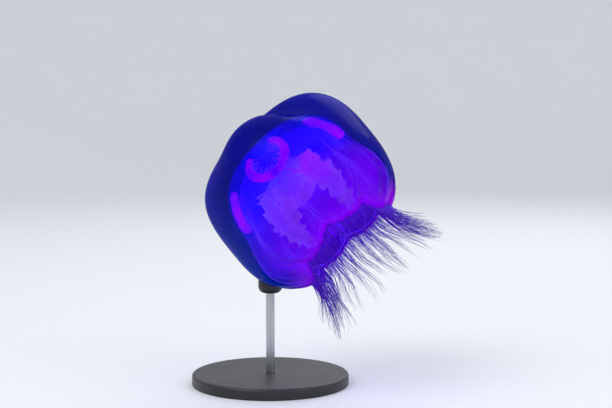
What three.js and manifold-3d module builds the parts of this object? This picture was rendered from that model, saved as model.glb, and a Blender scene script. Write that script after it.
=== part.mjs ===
// A moon jelly at the end of a swimming stroke, life size, on a plain display stand.
// Millimetres, +Z up. The origin is the centre of the stand base's underside.
//
// The animal is described in its own frame, and one group then leans it into its pose:
// its axis is +Z towards the crown of the bell, and a point is a polar angle from the crown,
// an azimuth round the axis and a radius from the bell's middle.
import * as THREE from "three";
import { mergeVertices } from "three/addons/utils/BufferGeometryUtils.js";
import Module from "manifold-3d";

const wasm = await Module();
wasm.setup();

const { sin, cos, PI, abs, sqrt, max, min, round, floor, exp } = Math;
const DEGREE = PI / 180;
const TURN = 2 * PI;

// ---- Driving dimensions ----
const GAP = 0.35; // clearance between neighbouring solids
const CUT_BEYOND = 1; // how far a cutter reaches past what it cuts
const CURVED_GAP = 1.25; // between curved layers, whose facets cut inside their curves

// Pose
const LEAN = 48.9 * DEGREE; // axis away from the vertical
const HEADING = 155 * DEGREE; // the way the crown leans, from +X
const SUPPORT_ANGLE = 109 * DEGREE; // polar angle of the spot on the low side that rests on the stand
const SUPPORT_HEIGHT = 96; // that spot above the floor

// Bell, drawn in like a purse
const BELL_RADIUS = 83;
const CROWN_HEIGHT = 75.5; // from the bell's middle up to the crown
const SKIRT_DEPTH = 65; // from the bell's middle down to the drawn-in margin
const CROWN_POWER = 2.5; // 2 is an ellipse, and more is squarer shoulders
const SKIRT_POWER = 2.8;
const SKIRT_SAG = 4.5; // how far the skirt hangs over to the low side
const SAG_SPAN = [60 * DEGREE, 120 * DEGREE]; // polar angles between which it grows
const CROWN_THICKNESS = 30;
const SHOULDER_THICKNESS = 17;
const MARGIN_THICKNESS = 3.6;
const RIM_THICKNESS = 2.2;
const FLANK_SPAN = [84 * DEGREE, 126 * DEGREE]; // shoulder thickness to margin thickness
const RIM_SPAN = [128 * DEGREE, 142 * DEGREE]; // margin thickness to rim thickness

// Four-fold body plan
const QUARTERS = 4;
const PLAN_TURN = 17 * DEGREE; // azimuth of the first gonad
const SHOULDER = 50 * DEGREE; // polar angle where the four lobes bulge most
const SHOULDER_SPREAD = 24 * DEGREE;
const LOBE_BULGE = 4;
const DEEP_CREASE = 6.5; // one furrow between two lobes is pinched
const DEEP_CREASE_SPREAD = 13 * DEGREE;
const DEEP_CREASE_AZIMUTH = PLAN_TURN + 135 * DEGREE;
const FILLED_FURROW = 4; // and one furrow is filled out
const FILLED_SPREAD = 28 * DEGREE;
const FILLED_AZIMUTH = PLAN_TURN + 38 * DEGREE;

// Margin: eight lappets with a sense organ in each notch
const LAPPETS = 8;
const MARGIN_START = 118 * DEGREE; // polar angle where the lappets begin
const NOTCH_ANGLE = 139.5 * DEGREE; // polar angle of the rim in a notch
const LAPPET_REACH = 5 * DEGREE; // how much further a lappet goes
const PUCKER = 3; // depth of the furrow above each notch
const PUCKER_START = 105 * DEGREE;
const SADDLE = 6.3; // how far the two sides of the margin hang below the front and back
const SADDLE_SPAN = [92 * DEGREE, 140 * DEGREE];
const LOW_SIDE = 20.8 * DEGREE; // azimuth of one of them, the lower as the bell leans
const SENSE_ORGAN_RADIUS = 1.5;

// Tentacles
const TENTACLES_PER_LAPPET = 5;
const TENTACLE_INSET = 0.13; // share of a lappet's width left free at each side
const TENTACLE_LENGTH = 61;
const LENGTH_RANGE = [0.8, 1]; // shares of that length
const TENTACLE_ROOT_RADIUS = 0.9;
const TENTACLE_TIP_RADIUS = 0.35;
const TENTACLE_FLARE = 17; // how far the tips stand out from the rim
const FLARE_RANGE = [0.7, 1.2]; // shares of that flare
const TENTACLE_SWAY = 9; // how far the tips stray sideways
const TENTACLE_WAVE = 1.5;

// Gonads, in the pouches of the stomach
const GONAD_ANGLE = 60 * DEGREE; // polar angle of each horseshoe's middle
const GONAD_RING = 20.5; // radius of the horseshoe's centre line
const GONAD_TUBE = 4.2;
const GONAD_END = 0.65; // radius of the tube's ends, as a share of its middle
const GONAD_OPENING = 42 * DEGREE; // half the gap, which faces the crown

// Stomach: a thin floor hung under the bell, with room for the gonads between them
const STOMACH_THICKNESS = 2.4;
const STOMACH_ROOM = 2 * GONAD_TUBE + CURVED_GAP;
const STOMACH_EDGE = 90 * DEGREE;
const STOMACH_POUCH = 9 * DEGREE; // how much further each pouch reaches than the bays between
const STOMACH_CURL = 0.86; // share of the way down where the floor turns up to the bell

// Mouth and oral arms
const MOUTH_TOP = CROWN_HEIGHT - CROWN_THICKNESS - STOMACH_ROOM - STOMACH_THICKNESS - 2 * CURVED_GAP;
const MOUTH_END = 17;
const MOUTH_RADIUS = 10;
const MOUTH_WALL = 3;
const MOUTH_CORNER = 0.16; // how far its four corners stand out, as a share of its radius
const MOUTH_FLARE = 0.25; // how much wider it ends
const ARM_WIDTH = 18;
const ARM_TAPER = 0.52; // how much narrower it ends
const ARM_THICKNESS = 4.5;
const ARM_FOLD = 0.3; // how deep its V is, as a share of its half width
const ARM_FRILL = 2.2;
const ARM_FRILLS = 3.5;
const ARM_TWIST = 5; // sideways swing, to the two hands in turn
const ARM_SPREAD = 23; // how far an arm swings out from the mouth's corner
const ARM_SWING = 0.62; // share of a half turn that the swing follows, and past 0.5 it comes back in
const ARM_END = -33;
const ARM_SPLIT = 0.5; // where its two lengths meet
const ARM_BURIED = 2; // how far up the mouth it starts, which then cuts it

// Display stand
const BASE_RADIUS = 72;
const BASE_THICKNESS = 10;
const BASE_EDGE = 2;
const ROD_RADIUS = 4;
const CUP_RADIUS = 11;
const CUP_HEIGHT = 12; // from the rod up to the spot that it holds

// Facets
const BELL_SIDES = 48;
const DOME_RINGS = 12;
const BASE_SIDES = 48;
const CUP_SIDES = 32;
const ROD_SIDES = 24;

// ---- Materials ----
const material = (color, roughness, metalness = 0, opacity = 1) =>
  new THREE.MeshStandardMaterial({ color, roughness, metalness, opacity, transparent: opacity < 1 });
const jelly = material(0x1420c8, 0.15, 0, 0.55);
const stomachTissue = material(0x4a28ff, 0.35, 0, 0.8);
const gonadTissue = material(0x9a10ff, 0.4);
const armTissue = material(0x7040ff, 0.45);
const organTissue = material(0x8c20e0, 0.4);
const blackMetal = material(0x17181b, 0.45, 0.2);
const steel = material(0xb9bcc2, 0.3, 1);

// ---- Shape of the bell ----
const smoothstep = ([from, to], x) => {
  const t = min(1, max(0, (x - from) / (to - from)));
  return t * t * (3 - 2 * t);
};
const between = ([from, to], share) => from + (to - from) * share;
const bump = (x, spread) => exp(-((x / spread) ** 2));
const turnTo = (angle) => angle - TURN * round(angle / TURN);

// Radius of a superellipse in the direction of a polar angle.
const superellipse = (polar, along, power) =>
  (abs(sin(polar) / BELL_RADIUS) ** power + abs(cos(polar) / along) ** power) ** (-1 / power);

const smoothRadius = (polar) =>
  polar < PI / 2
    ? superellipse(polar, CROWN_HEIGHT, CROWN_POWER)
    : superellipse(polar, SKIRT_DEPTH, SKIRT_POWER);

// 1 in the middle of a lappet and 0 in the notches on either side.
const lappetShare = (azimuth) => (1 - cos(LAPPETS * (azimuth - PLAN_TURN))) / 2;

const pucker = (polar, azimuth) =>
  PUCKER * (1 - lappetShare(azimuth)) ** 3 * smoothstep([PUCKER_START, NOTCH_ANGLE], polar);

const shoulderRelief = (polar, azimuth) => {
  const lobes = LOBE_BULGE * cos(QUARTERS * (azimuth - PLAN_TURN));
  const crease = DEEP_CREASE * bump(turnTo(azimuth - DEEP_CREASE_AZIMUTH), DEEP_CREASE_SPREAD);
  const filled = FILLED_FURROW * bump(turnTo(azimuth - FILLED_AZIMUTH), FILLED_SPREAD);
  const band = bump(polar - SHOULDER, SHOULDER_SPREAD) * smoothstep([0, SHOULDER / 2], polar);
  return (lobes - crease + filled) * band;
};

const outerRadius = (polar, azimuth) =>
  smoothRadius(polar) + shoulderRelief(polar, azimuth) - pucker(polar, azimuth);

const rimAngle = (azimuth) => NOTCH_ANGLE + LAPPET_REACH * sqrt(lappetShare(azimuth));

const thickness = (polar) =>
  CROWN_THICKNESS +
  (SHOULDER_THICKNESS - CROWN_THICKNESS) * smoothstep([0, SHOULDER], polar) +
  (MARGIN_THICKNESS - SHOULDER_THICKNESS) * smoothstep(FLANK_SPAN, polar) +
  (RIM_THICKNESS - MARGIN_THICKNESS) * smoothstep(RIM_SPAN, polar);

const innerRadius = (polar, azimuth) =>
  smoothRadius(polar) - thickness(polar) - pucker(polar, azimuth);

// The margin hangs lower at two opposite sides.
const saddleDrop = (polar, azimuth) =>
  -SADDLE * cos(2 * (azimuth - LOW_SIDE)) * smoothstep(SADDLE_SPAN, polar);

const radial = (azimuth) => new THREE.Vector3(cos(azimuth), sin(azimuth), 0);
const sideways = (azimuth) => new THREE.Vector3(-sin(azimuth), cos(azimuth), 0);
const pointAt = (polar, azimuth, radius) =>
  radial(azimuth)
    .multiplyScalar(radius * sin(polar))
    .addScaledVector(radial(LOW_SIDE), SKIRT_SAG * smoothstep(SAG_SPAN, polar))
    .setZ(radius * cos(polar) + saddleDrop(polar, azimuth));

// ---- Closed meshes ----
const WELD = 1e-4; // corners closer than this are one

// Triangles, as [a, b, c] corner points, become a geometry with shared vertices.
function geometryOf(triangles) {
  const numbers = triangles.flatMap((corners) => corners.flatMap((corner) => corner.toArray()));
  const loose = new THREE.BufferGeometry();
  loose.setAttribute("position", new THREE.Float32BufferAttribute(numbers, 3));
  const merged = mergeVertices(loose, WELD);
  const kept = [];
  for (let i = 0; i < merged.index.count; i += 3) {
    const [a, b, c] = merged.index.array.slice(i, i + 3);
    if (a !== b && b !== c && c !== a) kept.push(a, b, c);
  }
  return merged.setIndex(kept);
}

const quad = (a, b, c, d) => [[a, b, c], [a, c, d]];

// The body between an outer and an inner sheet, each a function of two shares from 0 to 1:
// down from the crown, and round the axis. A closed one goes all the way round.
function shell({ outer, inner, rows, columns, closed }) {
  const around = (j) => (closed ? j % columns : j) / columns;
  const gridOf = (sheet) =>
    Array.from({ length: rows + 1 }, (_, i) =>
      Array.from({ length: columns + 1 }, (_, j) => sheet(i / rows, around(j))));
  const out = gridOf(outer);
  const inn = gridOf(inner);
  const triangles = [];
  for (let i = 0; i < rows; i++) {
    for (let j = 0; j < columns; j++) {
      triangles.push(...quad(out[i][j], out[i + 1][j], out[i + 1][j + 1], out[i][j + 1]));
      triangles.push(...quad(inn[i][j], inn[i][j + 1], inn[i + 1][j + 1], inn[i + 1][j]));
    }
    if (!closed) {
      const last = columns;
      triangles.push(...quad(out[i][0], inn[i][0], inn[i + 1][0], out[i + 1][0]));
      triangles.push(...quad(out[i][last], out[i + 1][last], inn[i + 1][last], inn[i][last]));
    }
  }
  for (let j = 0; j < columns; j++) {
    triangles.push(...quad(out[rows][j], inn[rows][j], inn[rows][j + 1], out[rows][j + 1]));
    if (!closed) triangles.push(...quad(out[0][j], out[0][j + 1], inn[0][j + 1], inn[0][j]));
  }
  return geometryOf(triangles);
}

const TANGENT_STEP = 1e-3;

// A section carried along a path. path(t) is a point, section(t, angle) is [across, up] from it,
// and across leans towards the reference direction.
function sweep({ path, reference, section, steps, sides, from = 0, to = 1 }) {
  const rings = [];
  const centres = [];
  for (let i = 0; i <= steps; i++) {
    const t = from + ((to - from) * i) / steps;
    const tangent = path(t + TANGENT_STEP).sub(path(t - TANGENT_STEP)).normalize();
    const up = tangent.clone().cross(reference).normalize();
    const across = up.clone().cross(tangent);
    const centre = path(t);
    rings.push(Array.from({ length: sides }, (_, k) => {
      const [a, b] = section(t, (TURN * k) / sides);
      return centre.clone().addScaledVector(across, a).addScaledVector(up, b);
    }));
    centres.push(centre);
  }
  const triangles = [];
  for (let k = 0; k < sides; k++) {
    const next = (k + 1) % sides;
    for (let i = 0; i < steps; i++)
      triangles.push(...quad(rings[i][k], rings[i][next], rings[i + 1][next], rings[i + 1][k]));
    triangles.push([centres[0], rings[0][next], rings[0][k]]);
    triangles.push([centres[steps], rings[steps][k], rings[steps][next]]);
  }
  return geometryOf(triangles);
}

const roundSection = (radius) => (t, angle) => [radius(t) * cos(angle), radius(t) * sin(angle)];

function lathe(profile, sides) {
  const points = profile.map(([x, y]) => new THREE.Vector2(x, y));
  const geometry = new THREE.LatheGeometry(points, sides).rotateX(PI / 2);
  geometry.deleteAttribute("normal");
  geometry.deleteAttribute("uv");
  const flat = geometry.toNonIndexed().getAttribute("position");
  const corner = (i) => new THREE.Vector3().fromBufferAttribute(flat, i);
  const triangles = [];
  for (let i = 0; i < flat.count; i += 3) triangles.push([corner(i), corner(i + 1), corner(i + 2)]);
  return geometryOf(triangles);
}

// ---- Solids ----
function solidOf(geometry) {
  const made = new wasm.Manifold(new wasm.Mesh({
    numProp: 3,
    vertProperties: new Float32Array(geometry.getAttribute("position").array),
    triVerts: new Uint32Array(geometry.index.array),
  }));
  if (made.volume() <= 0) throw new Error("a mesh faces inwards");
  return made;
}

function geometryFrom(solid) {
  const mesh = solid.getMesh();
  return new THREE.BufferGeometry()
    .setAttribute("position", new THREE.BufferAttribute(mesh.vertProperties, 3))
    .setIndex(new THREE.BufferAttribute(mesh.triVerts, 1));
}

const joined = (geometries) => geometryFrom(geometries.map(solidOf).reduce((a, b) => a.add(b)));
const cutBy = (geometry, cutter) => geometryFrom(solidOf(geometry).subtract(solidOf(cutter)));

// ---- Scene graph ----
const model = new THREE.Group();
const animal = new THREE.Group();
// Azimuth 0 is the low side of the leaning bell. It rests over the stand's centre.
animal.rotation.set(0, LEAN, HEADING, "ZYX");
const support = pointAt(SUPPORT_ANGLE, 0, outerRadius(SUPPORT_ANGLE, 0)).applyEuler(animal.rotation);
animal.position.set(0, 0, SUPPORT_HEIGHT).sub(support);
model.add(animal);

function place(group, name, geometry, finish) {
  const mesh = new THREE.Mesh(geometry, finish);
  mesh.name = name;
  group.add(mesh);
  return mesh;
}

const quarterAzimuths = Array.from({ length: QUARTERS }, (_, k) => PLAN_TURN + (TURN * k) / QUARTERS);

// ---- Gonads: four horseshoes round the stomach, open towards the crown ----
const gonadDepth = CURVED_GAP + GONAD_TUBE; // of its centre line, under the bell
function gonad(azimuth) {
  const surface = innerRadius(GONAD_ANGLE, azimuth);
  const arc = PI - GONAD_OPENING;
  return sweep({
    path: (t) => {
      const round = arc * (2 * t - 1);
      const polar = GONAD_ANGLE + (GONAD_RING * cos(round)) / surface;
      const turn = (GONAD_RING * sin(round)) / (surface * sin(GONAD_ANGLE));
      return pointAt(polar, azimuth + turn, innerRadius(polar, azimuth + turn) - gonadDepth);
    },
    reference: pointAt(GONAD_ANGLE, azimuth, 1).normalize(),
    section: roundSection((t) => GONAD_TUBE * (1 - (1 - GONAD_END) * abs(2 * t - 1) ** 4)),
    steps: 16,
    sides: 6,
  });
}
quarterAzimuths.forEach((azimuth, k) => place(animal, `gonad_${k + 1}`, gonad(azimuth), gonadTissue));

// ---- Bell ----
// A sheet of the dome at a radius that depends on the polar angle and the azimuth.
const domeSheet = (radius, reach = MARGIN_START) => (down, round) =>
  pointAt(reach * down, TURN * round, radius(reach * down, TURN * round));
const dome = shell({
  outer: domeSheet(outerRadius),
  inner: domeSheet(innerRadius),
  rows: DOME_RINGS,
  columns: BELL_SIDES,
  closed: true,
});
place(animal, "bell", dome, jelly);

// Everything within a radius of the bell's middle, faceted like the dome, and some rings longer.
const insideOf = (radius, moreRings) => {
  const rows = DOME_RINGS + moreRings;
  const outer = domeSheet(radius, (MARGIN_START * rows) / DOME_RINGS);
  const middle = new THREE.Vector3();
  return shell({ outer, inner: () => middle, rows, columns: BELL_SIDES, closed: true });
};

// ---- Stomach: its floor, with a pouch under each gonad ----
const stomachEdge = (azimuth) => STOMACH_EDGE + STOMACH_POUCH * cos(QUARTERS * (azimuth - PLAN_TURN));
const stomachSheet = (depth) => (down, round) => {
  const azimuth = TURN * round;
  const polar = stomachEdge(azimuth) * down;
  const room = STOMACH_ROOM * (1 - smoothstep([STOMACH_CURL, 1], down));
  return pointAt(polar, azimuth, innerRadius(polar, azimuth) - depth - room);
};
const stomach = shell({
  outer: stomachSheet(CURVED_GAP),
  inner: stomachSheet(CURVED_GAP + STOMACH_THICKNESS),
  rows: 6,
  columns: 32,
  closed: true,
});
place(animal, "stomach", stomach, stomachTissue);

// ---- Margin: eight lappets, each with its tentacles ----
// A repeatable number from 0 to 1 for each tentacle and trait.
const varied = (seed, trait) => {
  const scattered = 1e4 * sin(13 * seed + 78 * trait + 1);
  return scattered - floor(scattered);
};
const ROOT_INSET = 1.5 * DEGREE; // a tentacle starts inside its lappet's rim

function tentacle(azimuth, seed) {
  const polar = rimAngle(azimuth) - ROOT_INSET;
  const root = pointAt(polar, azimuth, outerRadius(polar, azimuth) - RIM_THICKNESS / 2);
  const length = TENTACLE_LENGTH * between(LENGTH_RANGE, varied(seed, 1));
  const flare = TENTACLE_FLARE * between(FLARE_RANGE, varied(seed, 2));
  const sway = TENTACLE_SWAY * (varied(seed, 3) - 0.5);
  const path = (t) =>
    root.clone()
      .addScaledVector(radial(azimuth), flare * t * t)
      .addScaledVector(sideways(azimuth), sway * t * t + TENTACLE_WAVE * t * sin(TURN * t + seed))
      .setZ(root.z - length * t);
  const taper = (t) => between([TENTACLE_ROOT_RADIUS, TENTACLE_TIP_RADIUS], t);
  return sweep({ path, reference: sideways(azimuth), section: roundSection(taper), steps: 6, sides: 4 });
}

const lappetTurn = TURN / LAPPETS;
const notchRadius = smoothRadius(NOTCH_ANGLE);
const sideGap = GAP / 2 / (notchRadius * sin(NOTCH_ANGLE)); // half the gap, as an angle at the rim
const organSeat = NOTCH_ANGLE + (SENSE_ORGAN_RADIUS + 3 * GAP) / notchRadius;
for (let k = 0; k < LAPPETS; k++) {
  const start = PLAN_TURN + lappetTurn * k;
  const azimuthAt = (share) => start + sideGap + (lappetTurn - 2 * sideGap) * share;
  const top = MARGIN_START + GAP / BELL_RADIUS;
  const sheet = (radius) => (down, round) => {
    const azimuth = azimuthAt(round);
    const polar = top + (rimAngle(azimuth) - top) * down;
    return pointAt(polar, azimuth, radius(polar, azimuth));
  };
  const lappet = shell({
    outer: sheet(outerRadius),
    inner: sheet(innerRadius),
    rows: 4,
    columns: 6,
    closed: false,
  });
  const tentacles = Array.from({ length: TENTACLES_PER_LAPPET }, (_, i) => {
    const share = i / (TENTACLES_PER_LAPPET - 1);
    const azimuth = azimuthAt(between([TENTACLE_INSET, 1 - TENTACLE_INSET], share));
    return tentacle(azimuth, k * TENTACLES_PER_LAPPET + i);
  });
  place(animal, `margin_lappet_${k + 1}`, joined([lappet, ...tentacles]), jelly);

  const organ = new THREE.IcosahedronGeometry(SENSE_ORGAN_RADIUS, 0);
  const seat = pointAt(organSeat, start, outerRadius(NOTCH_ANGLE, start) - RIM_THICKNESS / 2);
  place(animal, `sense_organ_${k + 1}`, organ, organTissue).position.copy(seat);
}

// ---- Mouth: a four-cornered tube under the stomach ----
const armAzimuth = (k) => PLAN_TURN + (TURN * (k + 0.5)) / QUARTERS;
const mouthTube = (top, end, radius) => sweep({
  path: (t) => new THREE.Vector3(0, 0, top + (end - top) * t),
  reference: radial(armAzimuth(0)),
  section: (t, angle) => {
    const corner = radius * (1 + MOUTH_FLARE * t * t) * (1 + MOUTH_CORNER * cos(QUARTERS * angle));
    return [corner * cos(angle), corner * sin(angle)];
  },
  steps: 3,
  sides: 16,
});
const mouthWhole = mouthTube(MOUTH_TOP, MOUTH_END, MOUTH_RADIUS);
const mouthHollow = mouthTube(MOUTH_TOP - MOUTH_WALL, MOUTH_END - CUT_BEYOND, MOUTH_RADIUS - MOUTH_WALL);
const mouthRoom = mouthTube(MOUTH_TOP, MOUTH_END - GAP, MOUTH_RADIUS + GAP);
place(animal, "mouth", cutBy(mouthWhole, mouthHollow), armTissue);

// ---- Oral arms: four frilled ribbons, each in two lengths ----
const armWidth = (t) => (ARM_WIDTH / 2) * (1 - ARM_TAPER * t * t);
for (let k = 0; k < QUARTERS; k++) {
  const azimuth = armAzimuth(k);
  const hand = k % 2 ? 1 : -1;
  const start = MOUTH_END + ARM_BURIED;
  const path = (t) =>
    radial(azimuth)
      .multiplyScalar(MOUTH_RADIUS + ARM_SPREAD * sin(PI * ARM_SWING * t))
      .addScaledVector(sideways(azimuth), hand * ARM_TWIST * sin(PI * t))
      .setZ(start + (ARM_END - start) * t);
  const section = (t, angle) => {
    const across = cos(angle);
    const wave = sin(TURN * ARM_FRILLS * t + (across > 0 ? PI : 0) + k);
    const fold = abs(across) * (ARM_FRILL * wave + ARM_FOLD * armWidth(t));
    return [armWidth(t) * across, (ARM_THICKNESS / 2) * sin(angle) + fold];
  };
  const length = (from, to) => sweep({
    path, section, from, to, reference: sideways(azimuth), steps: 9, sides: 6,
  });
  const cut = GAP / (start - ARM_END);
  const upper = cutBy(length(0, ARM_SPLIT - cut), mouthRoom);
  place(animal, `oral_arm_${k + 1}_upper`, upper, armTissue);
  place(animal, `oral_arm_${k + 1}_lower`, length(ARM_SPLIT + cut, 1), armTissue);
}

// ---- Display stand ----
const base = lathe([
  [0, 0],
  [BASE_RADIUS, 0],
  [BASE_RADIUS, BASE_THICKNESS - BASE_EDGE],
  [BASE_RADIUS - BASE_EDGE, BASE_THICKNESS],
  [0, BASE_THICKNESS],
], BASE_SIDES);
place(model, "stand_base", base, blackMetal);

const cupFoot = SUPPORT_HEIGHT - CUP_HEIGHT;
const rodBottom = BASE_THICKNESS + GAP;
const rod = lathe([
  [0, rodBottom],
  [ROD_RADIUS, rodBottom],
  [ROD_RADIUS, cupFoot - GAP],
  [0, cupFoot - GAP],
], ROD_SIDES);
place(model, "stand_rod", rod, steel);

// The cup's hollow top follows the bell that rests in it.
const cupBlank = lathe([
  [0, cupFoot],
  [CUP_RADIUS / 2, cupFoot],
  [CUP_RADIUS, SUPPORT_HEIGHT - CUP_HEIGHT / 3],
  [CUP_RADIUS, SUPPORT_HEIGHT + CUP_HEIGHT],
  [0, SUPPORT_HEIGHT + CUP_HEIGHT],
], CUP_SIDES);
animal.updateMatrixWorld(true);
const bellRoom = insideOf((polar, azimuth) => outerRadius(polar, azimuth) + GAP, 2)
  .applyMatrix4(animal.matrixWorld);
place(model, "stand_cup", cutBy(cupBlank, bellRoom), blackMetal);

export default model;
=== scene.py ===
import math

import bpy
import numpy as np
from mathutils import Matrix, Vector
from mathutils.bvhtree import BVHTree


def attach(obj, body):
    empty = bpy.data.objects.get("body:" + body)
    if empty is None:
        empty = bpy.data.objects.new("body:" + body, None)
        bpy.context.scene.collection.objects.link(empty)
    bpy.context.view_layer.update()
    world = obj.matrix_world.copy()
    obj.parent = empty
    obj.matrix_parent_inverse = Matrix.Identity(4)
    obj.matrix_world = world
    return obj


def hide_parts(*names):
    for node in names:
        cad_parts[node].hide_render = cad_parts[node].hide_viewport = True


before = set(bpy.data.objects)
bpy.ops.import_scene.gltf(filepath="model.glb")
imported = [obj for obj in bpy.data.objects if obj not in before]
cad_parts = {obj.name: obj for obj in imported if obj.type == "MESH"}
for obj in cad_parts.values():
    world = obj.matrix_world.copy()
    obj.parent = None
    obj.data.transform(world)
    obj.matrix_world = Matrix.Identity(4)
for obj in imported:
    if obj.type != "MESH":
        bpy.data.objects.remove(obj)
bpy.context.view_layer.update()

bl_info = {
    "name": "Moon jelly on a stand",
    "version": (1, 0, 0),
    "blender": (4, 5, 0),
    "location": "View3D > Sidebar > Moon jelly",
    "description": "Builds the fine surfaces and materials of a life-size moon jelly model",
    "category": "Add Mesh",
}

# ---- Plan of the animal, as in the solids, in metres and radians ----
# Its axis is +Z towards the crown. A point is a polar angle from the crown, an azimuth round
# the axis and a radius from the bell's middle. One turn and one move then lean it into its pose.
MM = 1e-3
DEGREE = math.pi / 180
TURN = 2 * math.pi

LEAN = 48.9 * DEGREE
HEADING = 155 * DEGREE
SUPPORT_ANGLE = 109 * DEGREE
SUPPORT_HEIGHT = 96 * MM

BELL_RADIUS = 83 * MM
CROWN_HEIGHT = 75.5 * MM
SKIRT_DEPTH = 65 * MM
CROWN_POWER = 2.5
SKIRT_POWER = 2.8
SKIRT_SAG = 4.5 * MM
SAG_SPAN = (60 * DEGREE, 120 * DEGREE)
CROWN_THICKNESS = 30 * MM
SHOULDER_THICKNESS = 17 * MM
MARGIN_THICKNESS = 3.6 * MM
RIM_THICKNESS = 2.2 * MM
FLANK_SPAN = (84 * DEGREE, 126 * DEGREE)
RIM_SPAN = (128 * DEGREE, 142 * DEGREE)

QUARTERS = 4
PLAN_TURN = 17 * DEGREE
SHOULDER = 50 * DEGREE
SHOULDER_SPREAD = 24 * DEGREE
LOBE_BULGE = 4 * MM
DEEP_CREASE = 6.5 * MM
DEEP_CREASE_SPREAD = 13 * DEGREE
DEEP_CREASE_AZIMUTH = PLAN_TURN + 135 * DEGREE
FILLED_FURROW = 4 * MM
FILLED_SPREAD = 28 * DEGREE
FILLED_AZIMUTH = PLAN_TURN + 38 * DEGREE

LAPPETS = 8
LAPPET_NODES = [f"margin_lappet_{k}" for k in range(1, LAPPETS + 1)]
NOTCH_ANGLE = 139.5 * DEGREE
LAPPET_REACH = 5 * DEGREE
PUCKER = 3 * MM
PUCKER_START = 105 * DEGREE
SADDLE = 6.3 * MM
SADDLE_SPAN = (92 * DEGREE, 140 * DEGREE)
LOW_SIDE = 20.8 * DEGREE
SENSE_ORGAN_RADIUS = 1.5 * MM
GAP = 0.35 * MM

TENTACLES_PER_LAPPET = 5
TENTACLE_INSET = 0.13
TENTACLE_LENGTH = 61 * MM
LENGTH_RANGE = (0.8, 1.0)
TENTACLE_FLARE = 17 * MM
FLARE_RANGE = (0.7, 1.2)
TENTACLE_SWAY = 9 * MM
TENTACLE_WAVE = 1.5 * MM
ROOT_INSET = 1.5 * DEGREE

GONAD_ANGLE = 60 * DEGREE
GONAD_RING = 20.5 * MM
GONAD_TUBE = 4.2 * MM
GONAD_END = 0.65
GONAD_OPENING = 42 * DEGREE
CURVED_GAP = 1.25 * MM
GONAD_DEPTH = CURVED_GAP + GONAD_TUBE

STOMACH_THICKNESS = 2.4 * MM
STOMACH_ROOM = 2 * GONAD_TUBE + CURVED_GAP
STOMACH_EDGE = 90 * DEGREE
STOMACH_POUCH = 9 * DEGREE
STOMACH_CURL = 0.86

MOUTH_TOP = CROWN_HEIGHT - CROWN_THICKNESS - STOMACH_ROOM - STOMACH_THICKNESS - 2 * CURVED_GAP
MOUTH_END = 17 * MM
MOUTH_RADIUS = 10 * MM
MOUTH_CORNER = 0.16
MOUTH_FLARE = 0.25
ARM_WIDTH = 18 * MM
ARM_TWIST = 5 * MM
ARM_SPREAD = 23 * MM
ARM_SWING = 0.62
ARM_END = -33 * MM
ARM_BURIED = 2 * MM

BASE_RADIUS = 72 * MM
BASE_THICKNESS = 10 * MM
ROD_RADIUS = 4 * MM
CUP_RADIUS = 11 * MM
CUP_HEIGHT = 12 * MM


def smoothstep(span, x):
    t = np.clip((x - span[0]) / (span[1] - span[0]), 0, 1)
    return t * t * (3 - 2 * t)


def between(span, share):
    return span[0] + (span[1] - span[0]) * share


def bump(x, spread):
    return np.exp(-((x / spread) ** 2))


def turn_to(angle):
    return angle - TURN * np.round(angle / TURN)


def superellipse(polar, along, power):
    across = np.abs(np.sin(polar) / BELL_RADIUS) ** power
    return (across + np.abs(np.cos(polar) / along) ** power) ** (-1 / power)


def smooth_radius(polar):
    crown = superellipse(polar, CROWN_HEIGHT, CROWN_POWER)
    return np.where(polar < math.pi / 2, crown, superellipse(polar, SKIRT_DEPTH, SKIRT_POWER))


def lappet_share(azimuth):
    return (1 - np.cos(LAPPETS * (azimuth - PLAN_TURN))) / 2


def pucker(polar, azimuth):
    return PUCKER * (1 - lappet_share(azimuth)) ** 3 * smoothstep((PUCKER_START, NOTCH_ANGLE), polar)


def shoulder_relief(polar, azimuth):
    lobes = LOBE_BULGE * np.cos(QUARTERS * (azimuth - PLAN_TURN))
    crease = DEEP_CREASE * bump(turn_to(azimuth - DEEP_CREASE_AZIMUTH), DEEP_CREASE_SPREAD)
    filled = FILLED_FURROW * bump(turn_to(azimuth - FILLED_AZIMUTH), FILLED_SPREAD)
    band = bump(polar - SHOULDER, SHOULDER_SPREAD) * smoothstep((0, SHOULDER / 2), polar)
    return (lobes - crease + filled) * band


def thickness(polar):
    return (CROWN_THICKNESS
            + (SHOULDER_THICKNESS - CROWN_THICKNESS) * smoothstep((0, SHOULDER), polar)
            + (MARGIN_THICKNESS - SHOULDER_THICKNESS) * smoothstep(FLANK_SPAN, polar)
            + (RIM_THICKNESS - MARGIN_THICKNESS) * smoothstep(RIM_SPAN, polar))


def outer_radius(polar, azimuth):
    return smooth_radius(polar) + shoulder_relief(polar, azimuth) - pucker(polar, azimuth)


def inner_radius(polar, azimuth):
    return smooth_radius(polar) - thickness(polar) - pucker(polar, azimuth)


def rim_angle(azimuth):
    return NOTCH_ANGLE + LAPPET_REACH * np.sqrt(lappet_share(azimuth))


def circle(count):
    return np.arange(count) * TURN / count


def radial(azimuth):
    azimuth = np.asarray(azimuth, float)
    return np.stack([np.cos(azimuth), np.sin(azimuth), np.zeros_like(azimuth)], -1)


def sideways(azimuth):
    azimuth = np.asarray(azimuth, float)
    return np.stack([-np.sin(azimuth), np.cos(azimuth), np.zeros_like(azimuth)], -1)


def point_at(polar, azimuth, radius):
    """A point of the animal in its own frame. The arguments broadcast."""
    polar, azimuth, radius = np.broadcast_arrays(polar, azimuth, radius)
    point = radial(azimuth) * (radius * np.sin(polar))[..., None]
    point = point + radial(LOW_SIDE) * (SKIRT_SAG * smoothstep(SAG_SPAN, polar))[..., None]
    saddle = SADDLE * np.cos(2 * (azimuth - LOW_SIDE)) * smoothstep(SADDLE_SPAN, polar)
    point[..., 2] = radius * np.cos(polar) - saddle
    return point


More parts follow.
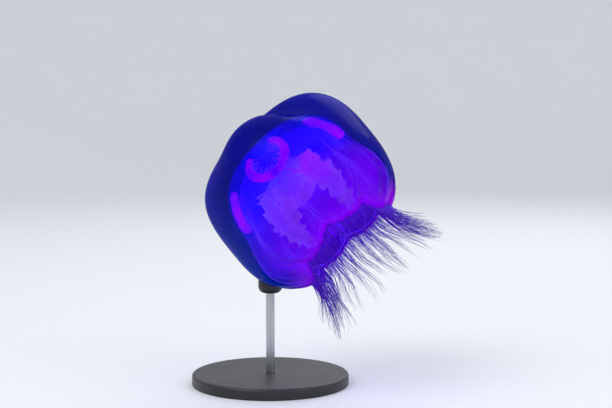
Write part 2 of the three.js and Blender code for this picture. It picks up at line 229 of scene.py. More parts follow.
POSE = np.array(Matrix.Rotation(HEADING, 3, "Z") @ Matrix.Rotation(LEAN, 3, "Y"))
SUPPORT = point_at(SUPPORT_ANGLE, 0.0, outer_radius(SUPPORT_ANGLE, 0.0))
PLACE = np.array([0, 0, SUPPORT_HEIGHT]) - POSE @ SUPPORT


def posed(points):
    return points @ POSE.T + PLACE


# ---- Meshes ----
def unit(vectors):
    return vectors / np.linalg.norm(vectors, axis=-1, keepdims=True)


def sweep(path, reference, across, up):
    """Rings (..., R, C, 3) of a section carried along a path (..., R, 3)."""
    tangent = unit(np.gradient(path, axis=-2))
    high = unit(np.cross(tangent, reference))
    wide = np.cross(high, tangent)
    return (path[..., None, :] + wide[..., None, :] * across[..., None]
            + high[..., None, :] * up[..., None])


def round_rod(path, reference, radius, angle):
    """Rings of a round section, whose radius is given for each row."""
    return sweep(path, reference, radius * np.cos(angle), radius * np.sin(angle))


def loft(rings, layers=None, start=None, end=None):
    """Closed skins over rings (N, R, C, 3). Each end is drawn together in a point.
    Returns points, faces, layers and the row that each face lies in."""
    count, rows, columns, _ = rings.shape
    first = rings[:, 0].mean(1) if start is None else np.broadcast_to(start, (count, 3))
    last = rings[:, -1].mean(1) if end is None else np.broadcast_to(end, (count, 3))
    points = np.concatenate([rings.reshape(count, -1, 3), first[:, None], last[:, None]], 1)
    row, column = np.meshgrid(np.arange(rows - 1), np.arange(columns), indexing="ij")
    after = (column + 1) % columns
    quads = np.stack([row * columns + column, row * columns + after,
                      (row + 1) * columns + after, (row + 1) * columns + column], -1).reshape(-1, 4)
    around = np.arange(columns)
    beside = (around + 1) % columns
    body = rows * columns
    low = np.stack([np.full(columns, body), beside, around], -1)
    bottom = (rows - 1) * columns
    high = np.stack([np.full(columns, body + 1), bottom + around, bottom + beside], -1)
    corners = points[0]
    volume = 0.0
    for part in (quads, low, high):
        for a in range(1, part.shape[1] - 1):
            across = np.cross(corners[part[:, a]], corners[part[:, a + 1]])
            volume += np.einsum("ij,ij->i", corners[part[:, 0]], across).sum()
    if volume < 0:
        quads, low, high = quads[:, ::-1], low[:, ::-1], high[:, ::-1]
    size = body + 2
    faces = []
    for n in range(count):
        for part in (quads, low, high):
            faces += (part + n * size).tolist()
    made = {}
    for name, values in (layers or {}).items():
        values = np.broadcast_to(values, (count, rows, columns))
        flat = values.reshape(count, -1)
        ends = np.stack([values[:, 0].mean(1), values[:, -1].mean(1)], 1)
        made[name] = np.concatenate([flat, ends], 1).ravel()
    face_rows = np.concatenate([row.ravel(), np.zeros(columns, int), np.full(columns, rows - 1)])
    return points.reshape(-1, 3), faces, made, np.tile(face_rows, count)


def merged(parts):
    """Several results of loft as one."""
    points, faces, layers, rows, offset = [], [], {}, [], 0
    for part_points, part_faces, part_layers, part_rows in parts:
        points.append(part_points)
        faces += [[corner + offset for corner in face] for face in part_faces]
        rows.append(part_rows)
        for name, values in part_layers.items():
            layers.setdefault(name, []).append(values)
        offset += len(part_points)
    return (np.concatenate(points), faces,
            {name: np.concatenate(values) for name, values in layers.items()}, np.concatenate(rows))


def add_piece(name, skin, materials, nodes=(), material_of_row=None, in_pose=True):
    """Makes the object, gives it its materials and ties it to the frame."""
    points, faces, layers, rows = skin
    mesh = bpy.data.meshes.new(name)
    mesh.from_pydata((posed(points) if in_pose else points).tolist(), [], faces)
    mesh.update()
    mesh.shade_smooth()
    for layer, values in layers.items():
        mesh.attributes.new(layer, "FLOAT", "POINT").data.foreach_set("value", values.astype(np.float32))
    for material in materials:
        mesh.materials.append(material)
    if material_of_row is not None:
        mesh.polygons.foreach_set("material_index", material_of_row(rows).astype(np.int32))
    piece = bpy.data.objects.new(name, mesh)
    bpy.context.scene.collection.objects.link(piece)
    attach(piece, "root")
    if nodes:
        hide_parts(*nodes)
    return piece


# ---- Colours and shader nodes ----
WATER_IOR = 1.34
RELIEF_HEIGHT = 0.6 * MM


def linear(red, green, blue):
    """A colour given as 0 to 255 on a screen, as the linear values that shaders use."""
    def one(value):
        value /= 255
        return value / 12.92 if value <= 0.04045 else ((value + 0.055) / 1.055) ** 2.4
    return one(red), one(green), one(blue)


def object_place(tree):
    return add_node(tree, "TexCoord").outputs["Object"]


def fill(tree, socket, value):
    """Links another node's output to the socket, or sets its value."""
    if isinstance(value, bpy.types.NodeSocket):
        tree.links.new(value, socket)
    else:
        socket.default_value = (*value, 1) if socket.type == "RGBA" and len(value) == 3 else value


def add_node(tree, kind, inputs=None, **settings):
    node = tree.nodes.new("ShaderNode" + kind)
    for name, value in settings.items():
        setattr(node, name, value)
    for name, value in (inputs or {}).items():
        fill(tree, node.inputs[name], value)
    return node


def math_node(tree, operation, *values, clamp=False):
    node = tree.nodes.new("ShaderNodeMath")
    node.operation = operation
    node.use_clamp = clamp
    for socket, value in zip(node.inputs, values):
        fill(tree, socket, value)
    return node.outputs[0]


def mix_colour(tree, factor, a, b):
    node = tree.nodes.new("ShaderNodeMix")
    node.data_type = "RGBA"
    sockets = {socket.identifier: socket for socket in node.inputs}
    for name, value in (("Factor_Float", factor), ("A_Color", a), ("B_Color", b)):
        fill(tree, sockets[name], value)
    return next(socket for socket in node.outputs if socket.identifier == "Result_Color")


def new_group(name, inputs, outputs):
    tree = bpy.data.node_groups.new(name, "ShaderNodeTree")
    for label, kind, default in inputs:
        socket = tree.interface.new_socket(label, in_out="INPUT", socket_type="NodeSocket" + kind)
        socket.default_value = default
    for label, kind in outputs:
        tree.interface.new_socket(label, in_out="OUTPUT", socket_type="NodeSocket" + kind)
    return tree, tree.nodes.new("NodeGroupInput").outputs, tree.nodes.new("NodeGroupOutput").inputs


def tissue_group():
    """Cloudy colour, uneven wetness and fine relief of living tissue."""
    name = "Tissue"
    if name in bpy.data.node_groups:
        return bpy.data.node_groups[name]
    tree, given, result = new_group(
        name,
        [("Deep Color", "Color", (0, 0, 0.1, 1)), ("Bright Color", "Color", (0, 0, 0.5, 1)),
         ("Speck Color", "Color", (0.1, 0.1, 0.6, 1)), ("Speckle", "Float", 0.0),
         ("Cloud Scale", "Float", 30.0), ("Relief Scale", "Float", 600.0), ("Wetness", "Float", 0.8)],
        [("Color", "Color"), ("Roughness", "Float"), ("Height", "Float")])
    place = object_place(tree)
    cloud = add_node(tree, "TexNoise", {"Vector": place, "Scale": given["Cloud Scale"], "Detail": 4.0,
                                        "Roughness": 0.55}).outputs[0]
    cloud = math_node(tree, "MULTIPLY_ADD", cloud, 2.4, -0.7, clamp=True)
    colour = mix_colour(tree, cloud, given["Deep Color"], given["Bright Color"])
    warts = add_node(tree, "TexVoronoi", {"Vector": place, "Scale": given["Relief Scale"]}).outputs[0]
    grain = add_node(tree, "TexNoise", {"Vector": place, "Scale": given["Relief Scale"],
                                        "Detail": 2.0}).outputs[0]
    speck = math_node(tree, "MULTIPLY_ADD", warts, -4.0, 1.4, clamp=True)
    speck = math_node(tree, "MULTIPLY", speck, given["Speckle"])
    tree.links.new(mix_colour(tree, speck, colour, given["Speck Color"]), result["Color"])
    height = math_node(tree, "MULTIPLY_ADD", warts, -0.6, grain)
    tree.links.new(height, result["Height"])
    rough = math_node(tree, "MULTIPLY_ADD", given["Wetness"], -0.45, 0.6)
    tree.links.new(math_node(tree, "MULTIPLY_ADD", grain, 0.16, rough, clamp=True), result["Roughness"])
    return tree


def veil_group():
    """How much a thin or deep layer covers: little where it faces the eye, more at its edge."""
    name = "Veil"
    if name in bpy.data.node_groups:
        return bpy.data.node_groups[name]
    tree, given, result = new_group(
        name,
        [("Facing", "Float", 0.5), ("Cover", "Float", 0.3), ("Edge Cover", "Float", 0.9),
         ("Falloff", "Float", 1.5)],
        [("Alpha", "Float")])
    edge = math_node(tree, "POWER", given["Facing"], given["Falloff"])
    spread = math_node(tree, "SUBTRACT", given["Edge Cover"], given["Cover"])
    alpha = math_node(tree, "MULTIPLY_ADD", edge, spread, given["Cover"], clamp=True)
    tree.links.new(alpha, result["Alpha"])
    return tree


def new_material(name):
    material = bpy.data.materials.new(name)
    material.use_nodes = True
    tree = material.node_tree
    return material, tree, tree.nodes["Principled BSDF"]


def layer_value(tree, layer):
    return add_node(tree, "Attribute", attribute_name=layer).outputs["Fac"]


def tissue_material(name, deep, bright, *, cloud=30.0, relief=600.0, relief_depth=0.15, wetness=0.8,
                    cover=None, edge_cover=1.0, back_cover=None, falloff=1.5, painted_glow=0.2, coat=0.25,
                    tints=(), denser=None, specks=None, front_shade=None):
    """Wet living tissue, with a painted glow: its colour also goes out as emission, as if lit from within,
    though it is no lamp. tints are (layer, colour, strength): the mesh layer fades that colour in.
    cover is how much it hides where it faces the eye, and back_cover the same for its inner side.
    denser is (layer, gain): the mesh layer adds that much to what it hides.
    specks is (colour, strength). The front tint is a painted shade: one more tint, (layer, colour,
    strength), which only the front side shows."""
    material, tree, shader = new_material(name)
    tissue = add_node(tree, "Group", node_tree=tissue_group())
    speck_colour, speckle = specks or (bright, 0.0)
    values = {
        "Deep Color": deep, "Bright Color": bright, "Speck Color": speck_colour, "Speckle": speckle,
        "Cloud Scale": cloud, "Relief Scale": relief, "Wetness": wetness,
    }
    for label, value in values.items():
        fill(tree, tissue.inputs[label], value)
    colour = tissue.outputs["Color"]
    for layer, tint, strength in tints:
        share = layer_value(tree, layer)
        colour = mix_colour(tree, math_node(tree, "MULTIPLY", share, strength, clamp=True), colour, tint)
    # The front tint is painted shade, shown on the front side only.
    if front_shade is not None:
        layer, tint, strength = front_shade
        share = layer_value(tree, layer)
        behind = add_node(tree, "NewGeometry").outputs["Backfacing"]
        front = math_node(tree, "MULTIPLY_ADD", behind, -strength, strength)
        colour = mix_colour(tree, math_node(tree, "MULTIPLY", share, front, clamp=True), colour, tint)
    tree.links.new(colour, shader.inputs["Base Color"])
    # Painted glow: the colour is also emitted, standing in for light that the tissue would catch.
    tree.links.new(colour, shader.inputs["Emission Color"])
    shader.inputs["Emission Strength"].default_value = painted_glow
    tree.links.new(tissue.outputs["Roughness"], shader.inputs["Roughness"])
    shader.inputs["IOR"].default_value = WATER_IOR
    shader.inputs["Coat Weight"].default_value = coat
    shader.inputs["Specular IOR Level"].default_value = 0.2 if cover is None else 0.0
    shader.inputs["Coat Roughness"].default_value = 0.09
    relief_node = add_node(tree, "Bump", {"Height": tissue.outputs["Height"], "Strength": relief_depth,
                                          "Distance": RELIEF_HEIGHT})
    tree.links.new(relief_node.outputs[0], shader.inputs["Normal"])
    if cover is not None:
        facing = add_node(tree, "LayerWeight", {"Blend": 0.5}).outputs["Facing"]
        veil = add_node(tree, "Group", node_tree=veil_group())
        tree.links.new(facing, veil.inputs["Facing"])
        if back_cover is None:
            veil.inputs["Cover"].default_value = cover
        else:
            behind = add_node(tree, "NewGeometry").outputs["Backfacing"]
            wet = math_node(tree, "MULTIPLY_ADD", behind, -coat, coat)
            tree.links.new(wet, shader.inputs["Coat Weight"])
            here = math_node(tree, "MULTIPLY_ADD", behind, back_cover - cover, cover)
            tree.links.new(here, veil.inputs["Cover"])
        veil.inputs["Edge Cover"].default_value = edge_cover
        veil.inputs["Falloff"].default_value = falloff
        alpha = veil.outputs["Alpha"]
        if denser is not None:
            layer, gain = denser
            alpha = math_node(tree, "MULTIPLY_ADD", layer_value(tree, layer), gain, alpha, clamp=True)
        tree.links.new(alpha, shader.inputs["Alpha"])
    return material


def painted_metal():
    material, tree, shader = new_material("Satin black paint")
    place = object_place(tree)
    cloud = add_node(tree, "TexNoise", {"Vector": place, "Scale": 25.0, "Detail": 4.0}).outputs[0]
    peel = add_node(tree, "TexNoise", {"Vector": place, "Scale": 900.0, "Detail": 2.0}).outputs[0]
    colour = mix_colour(tree, cloud, linear(20, 21, 24), linear(32, 33, 37))
    tree.links.new(colour, shader.inputs["Base Color"])
    tree.links.new(math_node(tree, "MULTIPLY_ADD", cloud, 0.14, 0.34), shader.inputs["Roughness"])
    orange = add_node(tree, "Bump", {"Height": peel, "Strength": 0.12, "Distance": 0.1 * MM})
    tree.links.new(orange.outputs[0], shader.inputs["Normal"])
    return material


def brushed_steel():
    material, tree, shader = new_material("Brushed steel")
    place = object_place(tree)
    stretched = add_node(tree, "Mapping", {"Vector": place, "Scale": (500.0, 500.0, 9000.0)}).outputs[0]
    lines = add_node(tree, "TexNoise", {"Vector": stretched, "Scale": 1.0, "Detail": 3.0}).outputs[0]
    colour = mix_colour(tree, lines, linear(150, 153, 158), linear(205, 207, 211))
    tree.links.new(colour, shader.inputs["Base Color"])
    tree.links.new(math_node(tree, "MULTIPLY_ADD", lines, 0.2, 0.2), shader.inputs["Roughness"])
    shader.inputs["Metallic"].default_value = 1.0
    scratches = add_node(tree, "Bump", {"Height": lines, "Strength": 0.2, "Distance": 0.05 * MM})
    tree.links.new(scratches.outputs[0], shader.inputs["Normal"])
    return material


# ---- Settings ----
def colour_property(name, description, default):
    return bpy.props.FloatVectorProperty(name=name, description=description, default=default,
                                         size=3, min=0, max=1, subtype="COLOR")


def count_property(name, description, default, least, most=4096):
    return bpy.props.IntProperty(name=name, description=description, default=default, min=least, max=most)


def measure_property(name, description, default, unit="LENGTH"):
    return bpy.props.FloatProperty(name=name, description=description, default=default, unit=unit)


class JellyBellSettings(bpy.types.PropertyGroup):
    columns: count_property("Columns", "Faces round the bell", 384, 64)
    rows: count_property("Rows", "Faces from crown to rim, outside", 96, 16)
    scallops: count_property("Scallops", "Small lobes along the whole rim", 64, 8)
    scallop: measure_property("Scallop depth", "How far they stand out", 0.5 * MM)
    ripple: measure_property("Ripple", "Depth of the folds drawn in above the rim", 0.45 * MM)
    deep: colour_property("Deep blue", "Darkest blue of the outside", linear(0, 0, 90))
    bright: colour_property("Royal blue", "Brightest blue of the outside", linear(0, 0, 142))
    speck: colour_property("Specks", "Pale specks of stinging cells on the outside", linear(52, 62, 205))
    inner_deep: colour_property("Inner blue", "Darkest blue of the underside", linear(8, 0, 190))
    inner_bright: colour_property("Electric blue", "Brightest blue of the underside", linear(40, 0, 250))
    flank: colour_property("Flank", "Violet of the underside below the stomach", linear(150, 0, 250))
    margin: colour_property("Margin", "Violet of the margin", linear(154, 0, 255))
    # Inner margin is a painted shade: dark indigo inside the margin, where shade falls.
    inner_margin_shade: colour_property("Inner margin", "Indigo inside the margin", linear(30, 0, 104))
    spot: colour_property("Margin spot", "Magenta where the margin bunches up", linear(150, 0, 205))
    # Low side is a painted teal rim light: the colour of light falling on the low side.
    low: colour_property("Low side", "Teal tinge of the low side", linear(0, 44, 150))


class JellyOrganSettings(bpy.types.PropertyGroup):
    gonad_folds: count_property("Gonad folds", "Folds along one horseshoe", 26, 4)
    filaments: count_property("Filaments", "Gastric filaments in one horseshoe", 56, 4)
    frill: measure_property("Frill", "Depth of an oral arm's ruffled edge", 3.2 * MM)
    frill_step: measure_property("Frill step", "Length of one ruffle", 9.5 * MM)
    lip: measure_property("Lip", "Half the width of a frilled lip between two arms", 15 * MM)
    lip_spread: measure_property("Lip spread", "How far a lip's end stands out", 13 * MM)
    lip_end: measure_property("Lip end", "Height of a lip's end above the bell's middle", 3 * MM)
    curtain: measure_property("Curtain", "Width of an arm's curtain on each side, near the mouth", 19 * MM)
    sag: measure_property("Sag", "How far the arms sink to the low side", 5 * MM)
    gonad: colour_property("Gonad", "Magenta-violet of the gonads", linear(206, 4, 255))
    gonad_deep: colour_property("Gonad folds", "Violet down in their folds", linear(104, 0, 242))
    stomach: colour_property("Stomach", "Blue-violet of the stomach's floor", linear(60, 6, 254))
    milk: colour_property("Milky wall", "Lilac of the stomach's lower wall", linear(120, 60, 255))
    arm: colour_property("Oral arm", "Lilac of the oral arms", linear(160, 84, 255))
    pink: colour_property("Pink", "Pink-violet of the arm that stands out", linear(208, 44, 255))
    pink_arm: count_property("Pink arm", "Which oral arm is pinker than the rest", 2, 1, 4)


class JellyTentacleSettings(bpy.types.PropertyGroup):
    count: count_property("Count", "Tentacles round the margin", 600, 8)
    root: measure_property("Root radius", "Radius where it leaves the margin", 0.26 * MM)
    tip: measure_property("Tip radius", "Radius at its end", 0.06 * MM)
    bunching: bpy.props.FloatProperty(
        name="Bunching", description="How far neighbours draw together in strands", default=0.75,
        min=0, max=1, subtype="FACTOR")
    root_colour: colour_property("Root colour", "Indigo near the margin", linear(84, 14, 200))
    tip_colour: colour_property("Tip colour", "Dark indigo of the ends", linear(40, 6, 136))


class JellyStageSettings(bpy.types.PropertyGroup):
    elevation: measure_property("Elevation", "Camera above the horizon", 5 * DEGREE, "ROTATION")
    distance: measure_property("Distance", "Camera to the bell's middle", 1.2)
    lens: measure_property("Lens", "Focal length on a 36 mm sensor", 78.43, "CAMERA")
    floor: colour_property("Floor", "Pale floor", (0.78, 0.79, 0.81))


SETTINGS = {
    "moon_jelly_bell": JellyBellSettings,
    "moon_jelly_organs": JellyOrganSettings,
    "moon_jelly_tentacles": JellyTentacleSettings,
    "moon_jelly_stage": JellyStageSettings,
}
RANDOM_SEED = 20
# name, place seen from the bell's middle, watts and width
LAMPS = (
    ("key", (-0.9, -0.9, 1.3), 13.0, 1.3),
    ("fill", (1.3, -0.9, 0.6), 6.0, 1.4),
    ("back", (0.5, 1.3, 1.1), 7.0, 1.2),
)
AIM_RIGHT = 1.8 * MM
AIM_DOWN = 11.7 * MM


# ---- Operators ----
class MOONJELLY_OT_bell(bpy.types.Operator):
    """Builds the bell as one skin, from the crown round the rim to the underside"""
    bl_idname = "moonjelly.bell"
    bl_label = "Bell"

    def execute(self, context):
        s = context.scene.moon_jelly_bell
        azimuth = circle(s.columns)
        rim = rim_angle(azimuth) + s.scallop / BELL_RADIUS * np.cos(s.scallops * (azimuth - PLAN_TURN))
        lip = RIM_THICKNESS / 2 / smooth_radius(rim)
        edge = rim - lip
        puckered = (98 * DEGREE, 136 * DEGREE)

        def ripple(polar):
            folds = np.cos(32 * azimuth + 1.3 * np.sin(3 * azimuth)) * smoothstep(puckered, polar)
            swell = np.sin(5 * azimuth + 2) * np.sin(6 * polar) * np.sin(polar)
            return s.ripple * (folds + 0.8 * swell)

        down = np.linspace(0, 1, s.rows + 1)[1:, None]
        outer_polar = down * edge
        outer = outer_radius(outer_polar, azimuth) + ripple(outer_polar)
        bend = np.linspace(0, math.pi, 8)[1:-1, None]
        at_edge = outer_radius(edge, azimuth) + ripple(edge)
        under_edge = inner_radius(edge, azimuth) + ripple(edge)
        lip_polar = edge + lip * np.sin(bend)
        lip_radius = (at_edge + under_edge) / 2 + (at_edge - under_edge) / 2 * np.cos(bend)
        up = np.linspace(1, 0, s.rows * 2 // 3 + 1)[:-1, None]
        inner_polar = up * edge
        near_rim = smoothstep(puckered, inner_polar)
        inner = inner_radius(inner_polar, azimuth) + ripple(inner_polar) * near_rim
        polar = np.concatenate([outer_polar, lip_polar, inner_polar])
        radius = np.concatenate([outer, lip_radius, inner])
        full_azimuth = np.broadcast_to(azimuth, polar.shape)
        # where each colour fades in, as polar angles, and how far the two sides spread
        flank_fade = (82 * DEGREE, 108 * DEGREE)
        margin_shade_fade = (106 * DEGREE, 122 * DEGREE)
        rim_light_fade = (50 * DEGREE, 100 * DEGREE)
        margin_depth = 20 * DEGREE
        margin = smoothstep((rim - margin_depth, rim), polar)
        high_side = bump(turn_to(full_azimuth - LOW_SIDE - math.pi), 16 * DEGREE)
        low_side = bump(turn_to(full_azimuth - LOW_SIDE), 50 * DEGREE)
        layers = {
            "margin": margin[None],
            # flank violet, held back on the low side where the painted teal rim light goes
            "flank": (smoothstep(flank_fade, polar) * (1 - 0.75 * low_side))[None],
            # painted shade: darker inside the margin, from 106 degrees on to the rim
            "margin_shade": smoothstep(margin_shade_fade, polar)[None],
            "spot": (margin * high_side)[None],
            # low: a painted teal rim light on the low side of the outside
            "low": (low_side * smoothstep(rim_light_fade, polar))[None],
        }
        skin = loft(
            point_at(polar, full_azimuth, radius)[None], layers,
            start=point_at(0.0, 0.0, CROWN_HEIGHT),
            end=point_at(0.0, 0.0, CROWN_HEIGHT - CROWN_THICKNESS))
        outside = tissue_material(
            "Bell outside", s.deep, s.bright, cloud=22.0, relief=420.0, relief_depth=0.3,
            wetness=0.9, cover=0.3, edge_cover=1.0, back_cover=0.985, falloff=1.5, painted_glow=0.15, coat=0.14,
            # the low tint is a painted teal rim light
            tints=[("low", s.low, 0.7), ("margin", s.margin, 0.8), ("spot", s.spot, 0.9)],
            denser=("margin", 0.35), specks=(s.speck, 0.5))
        inside = tissue_material(
            "Bell underside", s.inner_deep, s.inner_bright, cloud=22.0, relief=380.0,
            relief_depth=0.25, wetness=0.7, cover=0.95, edge_cover=0.15, back_cover=0.4, falloff=2.2,
            painted_glow=0.75, coat=0.1,
            tints=[("flank", s.flank, 0.8), ("spot", s.spot, 0.8)],
            # the front tint is painted shade inside the margin
            front_shade=("margin_shade", s.inner_margin_shade, 0.9), denser=("flank", 0.2))
        turnover = s.rows + len(bend) // 2
        add_piece("bell_skin", skin, [outside, inside], ["bell", *LAPPET_NODES],
                  material_of_row=lambda rows: rows >= turnover)
        return {"FINISHED"}


class MOONJELLY_OT_canals(bpy.types.Operator):
    """Builds the branching canals that run from the stomach to the ring canal at the margin"""
    bl_idname = "moonjelly.canals"
    bl_label = "Canals"

    def execute(self, context):
        steps, around_steps = 40, 361
        ring_inset = 5 * DEGREE
        canal_radius = 0.45 * MM
        depth = 0.25 * MM
        tubes = []
        around = circle(6)

        def run(start_azimuth, end_azimuth, leaves, thick, thin):
            share = np.linspace(leaves, 1, steps)
            azimuth = start_azimuth + (end_azimuth - start_azimuth) * smoothstep((leaves, 1), share)
            azimuth = azimuth + 0.5 * DEGREE * np.sin(17 * share + 9 * start_azimuth)
            top = stomach_edge(start_azimuth) + 0.5 * DEGREE
            polar = top + (rim_angle(azimuth) - ring_inset - top) * share
            path = point_at(polar, azimuth, inner_radius(polar, azimuth) - depth)
            width = canal_radius * between((thick, thin), share)[:, None]
            tubes.append(loft(round_rod(path, radial(start_azimuth), width, around)[None]))

        for k in range(2 * QUARTERS):
            trunk = PLAN_TURN + k * TURN / (2 * QUARTERS)
            run(trunk, trunk, 0.0, 1.3, 0.8)
            for hand in (-1, 1):
                run(trunk, trunk + hand * 5.2 * DEGREE, 0.12, 1.1, 0.7)
                run(trunk, trunk + hand * 2.6 * DEGREE, 0.45, 0.9, 0.6)
                run(trunk + hand * 2.0 * DEGREE, trunk + hand * 8.6 * DEGREE, 0.3, 0.9, 0.6)
            plain = trunk + TURN / (4 * QUARTERS)
            run(plain, plain, 0.0, 1.1, 0.8)
        azimuth = np.linspace(0, TURN, around_steps)
        polar = rim_angle(azimuth) - ring_inset
        path = point_at(polar, azimuth, inner_radius(polar, azimuth) - depth)
        width = np.full((around_steps, 1), canal_radius * 1.2)
        tubes.append(loft(round_rod(path, np.array([0, 0, 1.0]), width, around)[None]))
        canal = tissue_material("Canals", linear(104, 34, 244), linear(140, 72, 255), cloud=90.0,
                                relief_depth=0.1, painted_glow=0.9, coat=0.0, cover=0.3, edge_cover=0.5)
        add_piece("bell_canals", merged(tubes), [canal])
        return {"FINISHED"}


def stomach_edge(azimuth):
    return STOMACH_EDGE + STOMACH_POUCH * np.cos(QUARTERS * (azimuth - PLAN_TURN))


class MOONJELLY_OT_stomach(bpy.types.Operator):
    """Builds the stomach's pleated floor, with a dimple under each gonad"""
    bl_idname = "moonjelly.stomach"
    bl_label = "Stomach"

    def execute(self, context):
        s = context.scene.moon_jelly_organs
        azimuth = circle(288)
        rows, pleats = 48, 72
        pleat_depth, dimple_depth, dimple_spread = 0.45 * MM, 1.5 * MM, 8 * DEGREE
        down = np.linspace(0, 1, rows + 1)[1:, None]

        def sheet(depth, down):
            polar = stomach_edge(azimuth) * down
            room = STOMACH_ROOM * (1 - smoothstep((STOMACH_CURL, 1), down))
            pleat = pleat_depth * np.sin(pleats * azimuth) * smoothstep((0.25, 0.7), down)
            pleat = pleat * (1 - smoothstep((0.9, 1), down))
            return polar, inner_radius(polar, azimuth) - depth - room + pleat

        top_polar, top = sheet(CURVED_GAP, down)
        low_polar, low = sheet(CURVED_GAP + STOMACH_THICKNESS, down[::-1])
        for k in range(QUARTERS):
            away = turn_to(azimuth - PLAN_TURN - k * TURN / QUARTERS) * math.sin(GONAD_ANGLE)
            low = low + dimple_depth * bump(np.hypot(away, low_polar - GONAD_ANGLE), dimple_spread)
        polar = np.concatenate([top_polar, low_polar])
        radius = np.concatenate([top, low])
        rings = point_at(polar, np.broadcast_to(azimuth, polar.shape), radius)
        floor_height = CROWN_HEIGHT - CROWN_THICKNESS - STOMACH_ROOM - CURVED_GAP
        milky = smoothstep((62 * DEGREE, 84 * DEGREE), polar)
        rim = smoothstep((0.78, 1), polar / stomach_edge(azimuth))
        skin = loft(rings[None], {"milky": milky[None], "rim": rim[None]},
                    start=point_at(0.0, 0.0, floor_height),
                    end=point_at(0.0, 0.0, floor_height - STOMACH_THICKNESS))
        colour = s.stomach
        tissue = tissue_material(
            "Stomach floor", tuple(0.6 * c for c in colour), colour, cloud=35.0, relief=350.0,
            relief_depth=0.25, wetness=0.65, cover=0.38, edge_cover=0.5, painted_glow=0.9, coat=0.05,
            tints=[("milky", s.milk, 0.4)], denser=("rim", -0.4))
        add_piece("stomach_skin", skin, [tissue], ["stomach"])
        return {"FINISHED"}


def gonad_path(share, azimuth):
    """The horseshoe's centre line and the middle of its ring."""
    surface = inner_radius(GONAD_ANGLE, azimuth)
    turned = (math.pi - GONAD_OPENING) * (2 * share - 1)
    polar = GONAD_ANGLE + GONAD_RING * np.cos(turned) / surface
    around = azimuth + GONAD_RING * np.sin(turned) / (surface * math.sin(GONAD_ANGLE))
    path = point_at(polar, around, inner_radius(polar, around) - GONAD_DEPTH)
    return path, point_at(GONAD_ANGLE, azimuth, surface - GONAD_DEPTH)


class MOONJELLY_OT_gonads(bpy.types.Operator):
    """Builds the four folded horseshoes and the gastric filaments inside them"""
    bl_idname = "moonjelly.gonads"
    bl_label = "Gonads"

    def execute(self, context):
        s = context.scene.moon_jelly_organs
        rng = np.random.default_rng(RANDOM_SEED)
        gonad = tissue_material("Gonad", s.gonad_deep, s.gonad, cloud=60.0, relief=420.0,
                                relief_depth=0.35, wetness=0.6, painted_glow=1.1, coat=0.05)
        share = np.linspace(0, 1, 300)
        angle = circle(28)
        thread = circle(6)
        filament_length, filament_curl, filament_droop = 9 * MM, 2.2 * MM, 1.6 * MM
        filaments = []
        for k in range(QUARTERS):
            azimuth = PLAN_TURN + k * TURN / QUARTERS
            path, middle = gonad_path(share, azimuth)
            away = np.abs(2 * share - 1)
            round_off = rounded_end(away, 0.93, 0.072, 0.002)
            radius = GONAD_TUBE * (1 - (1 - GONAD_END) * away ** 4) * round_off
            along = TURN * share[:, None]
            wander = 1.8 * np.sin(2.3 * along + k) + 1.1 * np.sin(5.7 * along + 2 * k)
            folds = (0.84 + 0.1 * np.sin(s.gonad_folds * along + wander + 1.8 * np.sin(2 * angle + k))
                     + 0.06 * np.sin(2.3 * s.gonad_folds * along - wander + 2.1 * np.sin(3 * angle)))
            width = radius[:, None] * folds * (1 + 0.07 * np.sin(4.3 * along + 2 * k))
            rings = round_rod(path, unit(middle), width, angle)
            add_piece(f"gonad_folds_{k + 1}", loft(rings[None]), [gonad], [f"gonad_{k + 1}"])

            roots = (np.arange(s.filaments) + 0.5) / s.filaments
            root, _ = gonad_path(roots, azimuth)
            inward = unit(middle - root)
            length = filament_length * rng.uniform(0.6, 1.1, (s.filaments, 1, 1))
            curl = filament_curl * rng.uniform(-1, 1, (s.filaments, 1, 1))
            t = np.linspace(0, 1, 12)[None, :, None]
            side = np.cross(inward, unit(middle))
            start = root + inward * GONAD_TUBE * 0.6
            line = (start[:, None] + inward[:, None] * length * t + side[:, None] * curl * np.sin(3 * t)
                    - unit(middle) * filament_droop * t * t)
            thin = between((0.42 * MM, 0.14 * MM), t[0, :, 0])[:, None]
            filaments.append(loft(round_rod(line, unit(middle), thin, thread)))
        filament = tissue_material("Gastric filament", linear(125, 20, 235), linear(190, 90, 255),
                                   cloud=160.0, relief_depth=0.1, painted_glow=0.35, coat=0.2)
        add_piece("gastric_filaments", merged(filaments), [filament])
        return {"FINISHED"}


